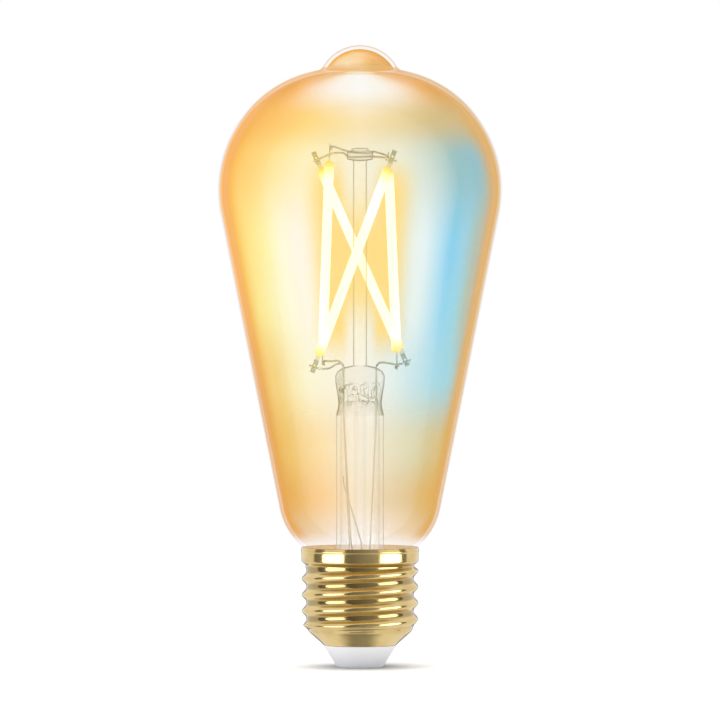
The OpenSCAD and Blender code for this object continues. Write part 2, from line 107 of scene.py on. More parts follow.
def eased(points, cut, steps=6):
    """Straight runs with each inner corner p made the curve (1-t)^2 a + 2t(1-t) p + t^2 b, where a and b lie cut before and after it."""
    p = np.asarray(points, float)
    corner = p[1:-1]
    back, on = p[:-2] - corner, p[2:] - corner
    reach_back = np.linalg.norm(back, axis=1)
    reach_on = np.linalg.norm(on, axis=1)
    length = np.minimum(np.broadcast_to(cut, len(corner)), 0.45 * np.minimum(reach_back, reach_on))[:, None]
    a = (corner + back / reach_back[:, None] * length)[:, None]
    b = (corner + on / reach_on[:, None] * length)[:, None]
    t = np.linspace(0, 1, steps)[None, :, None]
    curve = (1 - t) ** 2 * a + 2 * t * (1 - t) * corner[:, None] + t * t * b
    return np.vstack([p[:1], curve.reshape(-1, p.shape[1]), p[-1:]])


def spaced(points, step):
    """The same line with points about one step apart, found by its running length."""
    p = np.asarray(points, float)
    run = np.concatenate([[0], np.cumsum(np.linalg.norm(np.diff(p, axis=0), axis=1))])
    at = np.union1d(run, np.linspace(0, run[-1], int(run[-1] / step) + 2))
    return np.stack([np.interp(at, run, p[:, k]) for k in range(p.shape[1])], -1)


def lathe(profile, sides):
    """Surface of turning (r, z) about the upright axis: (r cos a, r sin a, z)."""
    round_ = turn(np.arange(sides) * 360 / sides)
    p = np.asarray(profile, float)
    xy = p[:, None, :1] * round_[None]
    z = np.broadcast_to(p[:, None, 1:], (len(p), sides, 1))
    return np.concatenate([xy, z], -1)


def loft(width, depth, roundness, z, sides):
    """Cross sections that change up a height: (w |cos a|^n sign cos a, d |sin a|^n sign sin a, z), with n = 2 / roundness."""
    c = turn(np.arange(sides) * 360 / sides)
    power = 2 / np.asarray(roundness, float)[:, None, None]
    shape = np.sign(c)[None] * np.abs(c)[None] ** power
    size = np.stack([width, depth], -1)[:, None]
    up = np.broadcast_to(np.asarray(z, float)[:, None, None], (len(z), sides, 1))
    return np.concatenate([shape * size, up], -1)


def sweep(route, radius, sides=12):
    """A circle carried along a route: p + r (u cos a + v sin a), u and v square to the way it runs, closed to a point at both ends."""
    p = np.asarray(route, float)
    r = np.broadcast_to(radius, len(p)).astype(float)
    p = np.vstack([p[:1], p, p[-1:]])
    r = np.concatenate([[0], r, [0]])
    way = np.gradient(p, axis=0)
    way[0], way[-1] = p[2] - p[1], p[-2] - p[-3]
    way /= np.linalg.norm(way, axis=1)[:, None]
    u = np.cross(way, (1, 0, 0.02))
    u /= np.linalg.norm(u, axis=1)[:, None]
    v = np.cross(way, u)
    c = turn(np.arange(sides) * 360 / sides)
    ring = c[None, :, :1] * u[:, None] + c[None, :, 1:] * v[:, None]
    return p[:, None] + r[:, None, None] * ring


def quads(rows, columns, first=0):
    """Corner numbers of the faces between neighbouring rows, with the last column joined to the first."""
    i = np.arange(rows - 1)[:, None] * columns
    k = np.arange(columns)[None]
    k2 = (k + 1) % columns
    return np.stack([i + k, i + k2, i + columns + k2, i + columns + k], -1).reshape(-1, 4) + first


def enclosed(points, faces):
    """Volume inside a closed surface: the sum of a . (b x c) / 6 over its triangles."""
    a, b, c, d = (points[faces[:, k]] for k in range(4))
    return float(np.sum(a * np.cross(b, c)) + np.sum(a * np.cross(c, d))) / 6


def piece(name, surfaces, finishes, nodes, hollows=(), inside=None, along=None):
    """Closed grids of points, in millimetres, as one object that stands for CAD nodes. Hollows face inwards."""
    points, faces, picks, first = [], [], [], 0
    for grid, hollow in [(g, False) for g in surfaces] + [(g, True) for g in hollows]:
        flat = grid.reshape(-1, 3)
        f = quads(grid.shape[0], grid.shape[1])
        if (enclosed(flat, f) < 0) != hollow:
            f = f[:, ::-1]
        rows = np.repeat(np.arange(grid.shape[0] - 1), grid.shape[1])
        pick = np.ones(len(f), int) if hollow else np.zeros(len(f), int)
        if inside is not None and not hollow:
            pick = (rows >= inside).astype(int)
        points.append(flat)
        faces.append(f + first)
        picks.append(pick)
        first += len(flat)
    points, faces, picks = np.vstack(points) * MM, np.vstack(faces), np.concatenate(picks)
    mesh = bpy.data.meshes.new(name)
    mesh.vertices.add(len(points))
    mesh.vertices.foreach_set("co", points.astype(np.float32).ravel())
    mesh.loops.add(faces.size)
    mesh.loops.foreach_set("vertex_index", faces.astype(np.int32).ravel())
    mesh.polygons.add(len(faces))
    mesh.polygons.foreach_set("loop_start", np.arange(0, faces.size, 4, dtype=np.int32))
    for finish in finishes:
        mesh.materials.append(finish)
    mesh.polygons.foreach_set("material_index", np.minimum(picks, len(finishes) - 1).astype(np.int32))
    mesh.polygons.foreach_set("use_smooth", np.ones(len(faces), bool))
    if along is not None:
        mesh.attributes.new("along", "FLOAT", "POINT").data.foreach_set("value", np.asarray(along, np.float32).ravel())
    mesh.update(calc_edges=True)
    join_poles(mesh)
    thing = bpy.data.objects.new(name, mesh)
    bpy.context.scene.collection.objects.link(thing)
    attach(thing, "root")
    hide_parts(*nodes)
    return thing


def join_poles(mesh):
    """Makes the points that share a place at a pole one point."""
    import bmesh

    work = bmesh.new()
    work.from_mesh(mesh)
    bmesh.ops.remove_doubles(work, verts=work.verts, dist=2e-7)
    work.to_mesh(mesh)
    work.free()
    mesh.validate()


# ---- Finishes: the way that shader nodes are written -------------------------------------------
class Value:
    """One output of a shader node. Arithmetic on it adds Math nodes."""

    def __init__(self, finish, socket):
        self.finish = finish
        self.socket = socket

    def _math(self, operation, a, b):
        return self.finish.add("ShaderNodeMath", {"operation": operation}, {0: a, 1: b})

    def __add__(self, other):
        return self._math("ADD", self, other)

    __radd__ = __add__

    def __mul__(self, other):
        return self._math("MULTIPLY", self, other)

    __rmul__ = __mul__

    def __sub__(self, other):
        return self._math("SUBTRACT", self, other)

    def __rsub__(self, other):
        return self._math("SUBTRACT", other, self)

    def __truediv__(self, other):
        return self._math("DIVIDE", self, other)

    def __rtruediv__(self, other):
        return self._math("DIVIDE", other, self)

    def __pow__(self, other):
        return self._math("POWER", self, other)

    def __abs__(self):
        return self._math("ABSOLUTE", self, 0.0)

    def ramp(self, low, high, bottom=0.0, top=1.0):
        """Eased step from bottom, below low, to top, above high."""
        return self.finish.add("ShaderNodeMapRange", {"interpolation_type": "SMOOTHSTEP"},
                               {0: self, 1: low, 2: high, 3: bottom, 4: top})


class Finish:
    """A material and its nodes."""

    def __init__(self, name):
        self.material = bpy.data.materials.new(name)
        self.material.use_nodes = True
        self.tree = self.material.node_tree
        self.tree.nodes.clear()

    def add(self, kind, settings=None, sockets=None, out=0):
        """A node of any type: its settings first, then the value or link of each socket."""
        node = self.tree.nodes.new(kind)
        for key, value in (settings or {}).items():
            if key == "stops":
                set_stops(node.color_ramp, value)
            else:
                setattr(node, key, value)
        for key, value in (sockets or {}).items():
            if isinstance(value, Value):
                self.tree.links.new(value.socket, node.inputs[key])
            elif node.inputs[key].type == "RGBA" and len(value) == 3:
                node.inputs[key].default_value = (*value, 1.0)
            else:
                node.inputs[key].default_value = value
        return Value(self, node.outputs[out])

    def other(self, value, out):
        """Another output of the same node."""
        return Value(self, value.socket.node.outputs[out])

    def place(self):
        """Object coordinates in millimetres: the vector, and x, y and z."""
        at = self.add("ShaderNodeTexCoord", out="Object")
        at = self.add("ShaderNodeVectorMath", {"operation": "SCALE"}, {0: at, "Scale": 1 / MM})
        x = self.add("ShaderNodeSeparateXYZ", None, {0: at})
        return at, x, self.other(x, 1), self.other(x, 2)

    def blend(self, factor, a, b):
        return self.add("ShaderNodeMix", {"data_type": "RGBA"}, {0: factor, 6: a, 7: b}, out=2)

    def noise(self, at, scale, detail=3.0, distortion=0.0):
        return self.add("ShaderNodeTexNoise", None,
                        {"Vector": at, "Scale": scale, "Detail": detail, "Distortion": distortion})

    def stretched(self, at, x, y, z):
        return self.add("ShaderNodeMapping", None, {"Vector": at, "Scale": (x, y, z)})

    def bump(self, height, strength, distance):
        return self.add("ShaderNodeBump", None,
                        {"Height": height, "Strength": strength, "Distance": distance * MM})

    def facing(self):
        """0 where the surface faces the eye, 1 at its edge."""
        return self.add("ShaderNodeLayerWeight", None, {"Blend": 0.5}, out="Facing")

    def fresnel(self, ior):
        return self.add("ShaderNodeFresnel", None, {"IOR": ior})

    def mixed(self, factor, a, b):
        return self.add("ShaderNodeMixShader", None, {0: factor, 1: a, 2: b})

    def principled(self, **sockets):
        return self.add("ShaderNodeBsdfPrincipled", None, {k.replace("_", " "): v for k, v in sockets.items()})

    def done(self, shader):
        self.add_output(shader)
        return self.material

    def add_output(self, shader):
        node = self.tree.nodes.new("ShaderNodeOutputMaterial")
        self.tree.links.new(shader.socket, node.inputs["Surface"])


def set_stops(ramp, stops):
    """Puts (place, colour) stops on a colour ramp."""
    while len(ramp.elements) < len(stops):
        ramp.elements.new(0.5)
    for element, (at, colour) in zip(ramp.elements, stops):
        element.position = at
    for element, (at, colour) in zip(ramp.elements, stops):
        element.color = colour if len(colour) == 4 else (*colour, 1.0)


def linear(colour):
    """A screen colour as the light that it stands for."""
    return tuple(c / 12.92 if c <= 0.04045 else ((c + 0.055) / 1.055) ** 2.4 for c in colour)


# ---- Finishes of the glass ---------------------------------------------------------------------
# Each level of the painted glow, the lamp's light painted on the glass: warm on the left, cool on the right, and near
# white in the middle of the crown levels at 131 and 133.7 as a painted highlight. Columns: height, then (side, colour
# over white, cover of one wall), side from -1 left to 1 right
GLOW = [
    (29.0, [(-1, (.885, .755, .59), .38), (-.7, (.925, .815, .67), .32), (-.4, (.955, .88, .79), .24),
            (0, (.97, .935, .89), .12), (.4, (.955, .89, .81), .2), (.7, (.925, .83, .70), .28),
            (1, (.88, .755, .585), .35)]),
    (38.0, [(-1, (.88, .645, .33), .66), (-.8, (.91, .71, .40), .62), (-.6, (.96, .785, .54), .52),
            (-.4, (.98, .825, .61), .44), (0, (.955, .89, .77), .28), (.3, (.915, .83, .68), .36),
            (.6, (.885, .775, .58), .47), (.8, (.87, .715, .44), .56), (1, (.88, .67, .37), .62)]),
    (50.0, [(-1, (.91, .70, .36), .62), (-.8, (.935, .77, .45), .56), (-.6, (.97, .845, .595), .47),
            (-.4, (.985, .885, .68), .38), (0, (.96, .915, .82), .24), (.3, (.92, .89, .77), .3),
            (.6, (.86, .845, .70), .37), (.8, (.85, .78, .59), .45), (1, (.86, .73, .47), .55)]),
    (66.0, [(-1, (.95, .76, .44), .5), (-.8, (.965, .84, .55), .47), (-.65, (.978, .925, .715), .4),
            (-.5, (.985, .965, .84), .25), (0, (.98, .96, .90), .15), (.3, (.90, .945, .93), .17),
            (.5, (.80, .905, .92), .28), (.7, (.68, .865, .92), .42), (.83, (.64, .845, .89), .45),
            (1, (.72, .80, .76), .42)]),
    (82.0, [(-1, (.975, .82, .48), .55), (-.83, (.985, .92, .61), .5), (-.72, (.99, .96, .74), .42),
            (-.58, (.995, .985, .87), .3), (-.5, (1, .97, .88), .2), (-.35, (1, .985, .92), .15),
            (0, (.985, .965, .90), .12), (.35, (.94, .965, .94), .12), (.5, (.89, .95, .945), .18),
            (.6, (.76, .90, .945), .32), (.7, (.595, .845, .94), .46), (.8, (.62, .845, .905), .45),
            (.88, (.71, .79, .73), .45), (1, (.62, .82, .89), .48)]),
    (94.0, [(-1, (.99, .84, .50), .55), (-.85, (.995, .90, .56), .52), (-.72, (.997, .965, .70), .45),
            (-.6, (.998, .985, .86), .3), (-.5, (1, .97, .90), .2), (-.35, (1, .975, .90), .15),
            (0, (.99, .97, .90), .12), (.35, (.95, .97, .94), .12), (.5, (.90, .955, .955), .18),
            (.6, (.75, .90, .955), .34), (.7, (.54, .82, .935), .48), (.79, (.62, .835, .91), .46),
            (.88, (.70, .78, .74), .46),
            (1, (.58, .81, .91), .5)]),
    (114.0, [(-1, (.995, .78, .42), .58), (-.8, (.995, .83, .50), .5), (-.6, (.995, .91, .64), .4),
             (-.4, (.992, .95, .77), .28), (0, (.975, .95, .86), .15), (.3, (.93, .94, .87), .2),
             (.5, (.82, .87, .82), .32), (.7, (.61, .77, .78), .45), (.85, (.58, .76, .80), .5),
             (1, (.68, .77, .74), .5)]),
    (123.0, [(-1, (.95, .70, .37), .7), (-.75, (.985, .765, .43), .64), (-.4, (.99, .85, .52), .54),
             (0, (.975, .89, .69), .38), (.3, (.925, .835, .62), .46), (.6, (.84, .755, .55), .5),
             (.8, (.82, .735, .55), .52), (1, (.87, .70, .43), .6)]),
    (131.0, [(-1, (.91, .64, .30), .66), (-.82, (.93, .68, .38), .6), (-.7, (.985, .80, .60), .42),
             (-.5, (.995, .925, .85), .2), (-.3, (1, .98, .95), .1), (0, (1, 1, .99), .06),
             (.3, (.995, .98, .95), .1), (.5, (.99, .92, .84), .2), (.7, (.955, .78, .60), .42),
             (.82, (.89, .66, .37), .6), (1, (.89, .65, .36), .62)]),
    (133.7, [(-1, (.92, .70, .42), .6), (-.7, (.90, .68, .42), .6), (-.5, (.985, .88, .73), .3),
             (-.3, (1, .98, .94), .1), (0, (1, 1, .98), .06), (.3, (1, .95, .88), .12),
             (.5, (.96, .82, .64), .35), (.7, (.91, .64, .40), .6), (1, (.92, .70, .45), .6)]),
    (134.9, [(-1, (.93, .78, .55), .5), (-.4, (.945, .80, .58), .45), (0, (.915, .75, .53), .5),
             (.4, (.87, .68, .38), .6), (1, (.91, .67, .40), .6)]),
    (135.8, [(-1, (.975, .86, .68), .4), (-.4, (.975, .885, .72), .36), (0, (.97, .83, .60), .42),
             (.4, (.90, .72, .42), .58), (1, (.90, .68, .42), .58)]),
    (137.2, [(-1, (.99, .86, .68), .4), (0, (.985, .845, .655), .4), (.4, (.98, .75, .53), .48),
             (1, (.95, .70, .47), .5)]),
]
# Rim colours are painted light: warm on the left, cooler on the right, dimmer low on the left. HALO is the painted glow
# of the lit filaments on the glass.
RIM_LEFT = ((.97, .69, .31), .72)
RIM_RIGHT = ((.868, .678, .39), .70)
RIM_LOW = (.90, .65, .32)
HALO = ((.995, .868, .54), .52)


def needed(colour, cover):
    """The cover of one wall, raised where the white behind would still show through a deep colour."""
    return max(cover, 1 - 0.98 * min(linear(colour)) ** 0.5)


def lit(colour, cover):
    """What one wall gives off so that two such walls over white show the colour: (c - t) / (1 - t), t being what both let through."""
    through = (1 - cover) ** 2
    return tuple(min(1.0, max(0.0, (c - through) / (1 - through))) for c in linear(colour))


def glow_film():
    """Amber film on the inside of the glass, with painted light in its own glow: warm on the left and cool on the
    right, a painted glow around the filaments and a painted highlight at the crown; denser where it is seen along its
    skin.
    """
    f = Finish("amber_film_painted_glow")
    at, x, y, z = f.place()
    radius = (x * x + y * y + 0.01) ** 0.5
    side = x / radius * radius.ramp(0.5, 6.0)
    across = side * 0.5 + 0.5
    colour = cover = None
    below = 0.0
    for height, stops in GLOW:
        level = f.add("ShaderNodeValToRGB",
                      {"stops": [((s + 1) / 2, (*lit(c, needed(c, a)), needed(c, a))) for s, c, a in stops]}, {0: across})
        level_cover = f.other(level, 1)
        if colour is None:
            colour, cover = level, level_cover
        else:
            step = z.ramp(below, height)
            colour = f.blend(step, colour, level)
            cover = cover + (level_cover - cover) * step
        below = height
    # Painted glow of the lit filaments on the glass around them, fainter in the gaps between them.
    between = abs(side).ramp(0.18, 0.07) * (z.ramp(96.0, 110.0) + z.ramp(86.0, 74.0))
    halo = abs(side).ramp(0.47, 0.25) * z.ramp(66.5, 77.0) * z.ramp(117.0, 107.5) * (1 - 0.85 * between)
    colour = f.blend(halo, colour, lit(*HALO))
    cover = cover + (HALO[1] - cover) * halo
    # On the crown the rim starts later, so that the painted highlight there stays near white.
    crown = z.ramp(118.0, 134.0) * z.ramp(135.4, 134.9)
    edge = f.facing()
    rim = (edge - (0.48 + 0.35 * crown)).ramp(0.0, 0.30) * z.ramp(27.0, 30.5)
    left_rim = f.blend(z.ramp(58.0, 90.0), lit(RIM_LOW, RIM_LEFT[1]), lit(*RIM_LEFT))
    rim_colour = f.blend(across, left_rim, lit(*RIM_RIGHT))
    colour = f.blend(rim, colour, rim_colour)
    cover = cover + (RIM_LEFT[1] - cover) * rim
    mottle = f.noise(f.stretched(at, 1, 1, 0.4), 0.06)
    cover = cover * (0.97 + 0.06 * mottle) * z.ramp(27.2, 31.0, 0.2, 1.0)
    shader = f.principled(Base_Color=(0.03, 0.018, 0.006), Roughness=0.35, Specular_IOR_Level=0.0,
                          Emission_Color=colour, Emission_Strength=1.0, Alpha=cover)
    return f.done(shader)


def clear_wall():
    """Outer skin of the glass: its gloss, a thin cool line along its edge, and an amber band where it is seen along its
    skin, whose colour is painted light, warm on the left and cool on the right like the film inside.
    """
    f = Finish("amber_glass")
    at, x, y, z = f.place()
    edge = f.facing()
    line = edge.ramp(0.93, 1.0, 0.0, 0.34)
    haze = f.noise(at, 0.35) * 0.004
    skin = edge - 0.08 * z.ramp(120.0, 132.0)
    amber = skin.ramp(0.60, 0.76, 0.0, 0.55) * skin.ramp(0.92, 0.80) * z.ramp(27.0, 30.5) * z.ramp(134.2, 135.2, 1.0, 0.75)
    foot = z.ramp(133.9, 134.4) * z.ramp(135.1, 134.7)
    amber = amber + 0.42 * foot * (1 - amber)
    # Painted light: the amber band is warm on the left and cooler on the right.
    left = f.blend(z.ramp(58.0, 90.0), linear(RIM_LOW), linear(RIM_LEFT[0]))
    tint = f.blend(x.ramp(-20.0, 20.0), linear((.86, .80, .80)), linear((.90, .82, .76)))
    tint = f.blend(amber * 1.8, tint, f.blend(x.ramp(-25.0, 25.0), left, linear(RIM_RIGHT[0])))
    body = f.principled(Base_Color=(0.05, 0.045, 0.045), Roughness=0.2, Specular_IOR_Level=0.0,
                        Emission_Color=tint, Emission_Strength=1.0, Alpha=line + haze + amber)
    gloss = f.add("ShaderNodeBsdfGlossy", None, {"Roughness": 0.3})
    return f.done(f.mixed(f.fresnel(1.45) * 0.12, body, gloss))


def clear_glass(name, body, edge_colour, veil, edge_cover, start, wrinkles=0.0):
    """Colourless glass of the stem: a faint veil, darker lines along its edges, gloss, and drawn wrinkles in the press."""
    f = Finish(name)
    at, x, y, z = f.place()
    edge = f.facing().ramp(start, 1.0)
    cover = veil + (edge_cover - veil) * edge
    colour = f.blend(edge, linear(body), linear(edge_colour))
    if wrinkles:
        curl = f.noise(f.stretched(at, 0.5, 0.5, 0.32), 1.0, 1.5, 1.2)
        thread = abs(curl - 0.5).ramp(0.035, 0.0) * z.ramp(57.5, 60.0) * z.ramp(65.0, 62.5)
        cover = cover + wrinkles * thread
        colour = f.blend(thread * 0.8, colour, linear(edge_colour))
    shader = f.principled(Base_Color=(0.04, 0.04, 0.036), Roughness=0.1, Specular_IOR_Level=0.0,
                          Emission_Color=colour, Emission_Strength=1.0, Alpha=cover)
    gloss = f.add("ShaderNodeBsdfGlossy", None, {"Roughness": 0.05})
    return f.done(f.mixed(f.fresnel(1.45) * 0.12, shader, gloss))


# ---- Finishes of metal, plastic and board ------------------------------------------------------
def lit_phosphor():
    """Phosphor coat of a lit filament: warm white along it and yellow towards its ends."""
    f = Finish("phosphor")
    at, x, y, z = f.place()
    along = f.add("ShaderNodeAttribute", {"attribute_name": "along"}, out="Fac")
    end = abs(along - 0.5)
    colour = f.blend(end.ramp(0.40, 0.50), (1.0, 0.97, 0.96), (0.42, 0.23, 0.03))
    grain = f.noise(at, 2.2)
    colour = f.blend(grain * 0.04, colour, (0.9, 0.7, 0.4))
    shader = f.principled(Base_Color=(0.80, 0.62, 0.20), Roughness=0.5, Emission_Color=colour,
                          Emission_Strength=1.65, Normal=f.bump(grain, 0.15, 0.05))
    return f.done(shader)


def brass():
    """Rolled brass sheet with fine turning lines, and painted shade darkening the roots of the thread."""
    f = Finish("brass")
    at, x, y, z = f.place()
    lines = f.noise(f.stretched(at, 0.05, 0.05, 9.0), 1.0, 2.0)
    cloud = f.noise(at, 0.25, 2.0)
    colour = f.blend(cloud.ramp(0.35, 0.65), (0.66, 0.485, 0.205), (0.74, 0.555, 0.24))
    # Painted shade: the brass is darkened in the thread's roots, where shade falls, so that their reflections stay dim.
    root_shade = ((x * x + y * y) ** 0.5).ramp(12.55, 12.15) * z.ramp(8.8, 9.8) * z.ramp(23.2, 22.4)
    colour = f.blend(root_shade * 0.6, colour, (0.24, 0.165, 0.06))
    limed = ((x * x + y * y) ** 0.5).ramp(13.0, 12.9) * z.ramp(23.6, 24.2)
    colour = f.blend(limed, colour, (0.95, 0.93, 0.88))
    shader = f.principled(Base_Color=colour, Metallic=1.0 - limed, Roughness=0.10 + 0.07 * lines + 0.6 * limed,
                          Normal=f.bump(lines, 0.05, 0.02))
    return f.done(shader)


def turned_metal(name, dark, light, roughness, scale=2.0, bump=0.1, metallic=1.0):
    """Small metal parts: two tones of one metal in a fine grain."""
    f = Finish(name)
    at, x, y, z = f.place()
    grain = f.noise(at, scale)
    shader = f.principled(Base_Color=f.blend(grain.ramp(0.3, 0.7), dark, light), Metallic=metallic,
                          Roughness=roughness + 0.12 * grain, Normal=f.bump(grain, bump, 0.03))
    return f.done(shader)


def moulded(name, dark, light, roughness, scale=1.5, bump=0.15, coat=0.0):
    """Moulded, pressed or cast parts: a faintly uneven colour and skin."""
    f = Finish(name)
    at, x, y, z = f.place()
    cloud = f.noise(at, scale)
    speck = f.noise(at, scale * 6, 2.0)
    shader = f.principled(Base_Color=f.blend(cloud.ramp(0.3, 0.7), dark, light),
                          Roughness=roughness + 0.15 * speck, Coat_Weight=coat,
                          Normal=f.bump(speck, bump, 0.03))
    return f.done(shader)


def circuit_board(name, mask, copper, pitch):
    """Solder mask over copper tracks, which show as slightly lighter raised lanes."""
    f = Finish(name)
    at, x, y, z = f.place()
    lanes = f.add("ShaderNodeTexBrick", {"offset": 0.37, "squash": 0.6, "squash_frequency": 3},
                  {"Vector": f.add("ShaderNodeMapping", None, {"Vector": at, "Rotation": (math.pi / 2, 0, 0)}),
                   "Scale": pitch, "Mortar Size": 0.06, "Mortar Smooth": 0.3}, out="Fac")
    weave = f.noise(at, 5.0)
    shader = f.principled(Base_Color=f.blend(lanes * 0.7, mask, copper), Roughness=0.35 + 0.1 * weave,
                          Normal=f.bump(lanes, 0.2, 0.04))
    return f.done(shader)


def wound_copper():
    """Enamelled wire wound side by side."""
    f = Finish("copper_coil")
    at, x, y, z = f.place()
    turns = f.add("ShaderNodeTexWave", {"bands_direction": "Z"}, {"Vector": at, "Scale": 0.9}, out="Fac")
    shader = f.principled(Base_Color=f.blend(turns, (0.22, 0.07, 0.02), (0.72, 0.30, 0.12)), Metallic=1.0,
                          Roughness=0.3 + 0.2 * turns, Normal=f.bump(turns, 0.6, 0.1))
    return f.done(shader)


# ---- Pieces ------------------------------------------------------------------------------------
def meeting_point(a, ra, b, rb):
    """The outer of the two points at distance ra from a and rb from b."""
    a, b = np.asarray(a, float), np.asarray(b, float)
    d = np.linalg.norm(b - a)
    u = (b - a) / d
    along = (ra * ra - rb * rb + d * d) / (2 * d)
    return a + along * u + math.sqrt(ra * ra - along * along) * np.array([-u[1], u[0]])


def heading(a, b):
    return math.degrees(math.atan2(b[1] - a[1], b[0] - a[0]))


def glass_side(grow, crown_angle, count):
    """Outline from the crown down: the shoulder's circle, the straight taper, the hollow neck curve and the neck."""
    top = np.asarray(CROWN_CENTRE) + CROWN_R * turn(-TAPER)
    end = np.array([top[0] - (top[1] - TAPER_END_Z) * math.tan(math.radians(TAPER)), TAPER_END_Z])
    centre = end - NECK_CURVE_R * turn(-TAPER)
    last = -math.degrees(math.acos((NECK_R + grow - centre[0]) / (NECK_CURVE_R + grow)))
    return np.vstack([arc(CROWN_CENTRE, CROWN_R + grow, crown_angle, -TAPER, count),
                      arc(centre, NECK_CURVE_R + grow, -TAPER, last, count // 3),
                      [[NECK_R + grow, NECK_BOTTOM_Z]]])


def glass_envelope():
    """Outer skin from the tip down, round the cut neck, and up the inner skin, with the drawn tip's hollow."""
    fillet = meeting_point(TIP_CENTRE, TIP_R + TIP_FILLET_R, CROWN_CENTRE, CROWN_R + TIP_FILLET_R)
    tip_end, crown_start = heading(TIP_CENTRE, fillet), heading(CROWN_CENTRE, fillet)
    outer = np.vstack([arc(TIP_CENTRE, TIP_R, 90, tip_end, 24),
                       arc(fillet, TIP_FILLET_R, 180 + tip_end, 180 + crown_start, 10)[1:],
                       glass_side(0, crown_start, 60)[1:]])
    inner = np.vstack([glass_side(-WALL, 90, 64)[::-1], [[0, CROWN_CENTRE[1] + CROWN_R - WALL]]])
    outer, inner = spaced(outer, 1.2), spaced(inner, 1.2)
    floor_angle = math.degrees(math.acos(TIP_FLOOR_R / TIP_HOLLOW_R))
    hollow = np.vstack([arc(TIP_CENTRE, TIP_HOLLOW_R, 90, floor_angle, 24),
                        [[0, TIP_CENTRE[1] + TIP_HOLLOW_R * math.sin(math.radians(floor_angle))]]])
    hollow = eased(hollow, np.where(np.arange(len(hollow) - 2) == len(hollow) - 3, 0.3, 0.01), 4)
    return piece("glass_wall", [lathe(np.vstack([outer, inner]), 160)], [clear_wall(), glow_film()],
                 ["glass_envelope"], hollows=[lathe(hollow, 96)], inside=len(outer) - 1)


def stem():
    """Flared tube that closes into the flattened press, hollow up to the press, with drawn bubbles beside the two left leads."""
    centre = np.array([STEM_R + FLARE_R, FLARE_Z])
    foot = 180 + math.degrees(math.acos((centre[0] - NECK_R) / FLARE_R))
    foot_in = 180 + math.degrees(math.acos((centre[0] - NECK_R) / (FLARE_R + STEM_WALL)))
    inner_r = STEM_R - STEM_WALL
    cavity = eased([(0, CAVITY_TOP[1]), CAVITY_TOP, (inner_r, 57.8), (inner_r, 30)], [0.8, 1.2])
    inner = np.vstack([cavity[:-1], arc(centre, FLARE_R + STEM_WALL, 180, foot_in, 20)])
    outer = arc(centre, FLARE_R, foot, 180, 24)
    tube = spaced(np.vstack([inner, outer, [(STEM_R, 56.6)]]), 1.5)
    heights = np.array([56.6, 57.0, 58.2, 59.3, 60.4, 62, 64, 65.6, 66.6, 67.2, 67.6, 67.8, 67.8])
    widths = np.array([5.35, 5.33, 5.0, 4.85, 4.95, 5.2, 5.52, 5.55, 5.0, 4.1, 3.0, 1.85, 0])
    depths = np.array([5.35, 5.3, 4.95, 4.7, 3.9, 2.75, 2.5, 2.5, 2.35, 2.15, 1.95, 1.8, 0])
    shapes = np.array([2, 2, 2, 2, 2.2, 2.7, 3, 3, 2.8, 2.5, 2.2, 2, 2])
    run = np.arange(len(heights))
    fine = np.linspace(0, run[-1], 61)
    table = [np.interp(fine, run, v) for v in (widths, depths, shapes, heights)]
    sides = 96
    skin = np.vstack([lathe(tube, sides), loft(*table, sides)[1:]])
    ball = lathe(arc((0, 0), 1, -90, 90, 9) * (1, 1), 12)
    steps = np.arange(10)
    sizes = 0.34 + 0.14 * np.abs(np.sin(2.3 * steps + 1))
    middles = np.stack([-4.4 + 0.2 * np.sin(5.1 * steps), 0.7 * np.cos(3.7 * steps),
                        60.0 + 0.68 * steps], -1)
    bubbles = [ball * (s, s, 1.5 * s) + m for s, m in zip(sizes, middles)]
    glass = clear_glass("stem_glass", (.99, .98, .965), (.36, .35, .30), 0.10, 0.9, 0.62)
    press = clear_glass("press_glass", (.80, .78, .72), (.15, .14, .10), 0.11, 0.98, 0.28, wrinkles=0.85)
    return piece("stem_tube", [skin], [glass, press], ["glass_stem"], hollows=bubbles,
                 inside=len(tube) - 1)


def exhaust_tube():
    """Thin tube down the middle of the stem, with a round sealed tip."""
    r, bore = EXHAUST_R, EXHAUST_R - EXHAUST_WALL
    tip = (0, EXHAUST_TIP_Z + r)
    top = CAVITY_TOP[1] - 0.05
    line = np.vstack([arc(tip, bore, -90, 0, 8), [(bore, top), (r, top)], arc(tip, r, 0, -90, 10)])
    glass = clear_glass("exhaust_glass", (.98, .96, .92), (.42, .40, .34), 0.03, 0.7, 0.66)
    return piece("exhaust_pipe", [lathe(spaced(line, 4), 48)], [glass], ["exhaust_tube"])


def rod():
    """Solid rod from the press to the button."""
    line = spaced(eased([(0, PRESS_TOP_Z), (ROD_R, PRESS_TOP_Z), (ROD_R, ROD_TOP_Z), (0, ROD_TOP_Z)], 0.12), 3)
    # The rod's warm cream body colour is painted light from the lit filaments around it.
    glass = clear_glass("rod_glass", (.985, .955, .86), (.13, .12, .07), 0.12, 1.0, 0.22)
    return piece("rod", [lathe(line, 48)], [glass], ["centre_rod"])


def button():
    """Flanged head of the rod that grips the upper wires, with softened corners."""
    line = eased(BUTTON_OUTLINE, [0.12, 0.1, 0.45, 0.45, 0.1, 0.2])
    glass = clear_glass("button_glass", (.82, .80, .72), (.22, .21, .15), 0.2, 0.97, 0.30)
    return piece("wire_button", [lathe(line, 64)], [glass], ["rod_button"])


def filament_axis(i):
    way = HEADS[i] - FEET[i]
    return way / np.linalg.norm(way)


def tab_side(i):
    """Direction across the flat of a filament's tabs: (cos t cos a, cos t sin a, -sin t) for tilt t and heading a."""
    way = filament_axis(i)
    tilt, a = math.acos(way[2]), math.atan2(way[1], way[0])
    return np.array([math.cos(tilt) * math.cos(a), math.cos(tilt) * math.sin(a), -math.sin(tilt)])


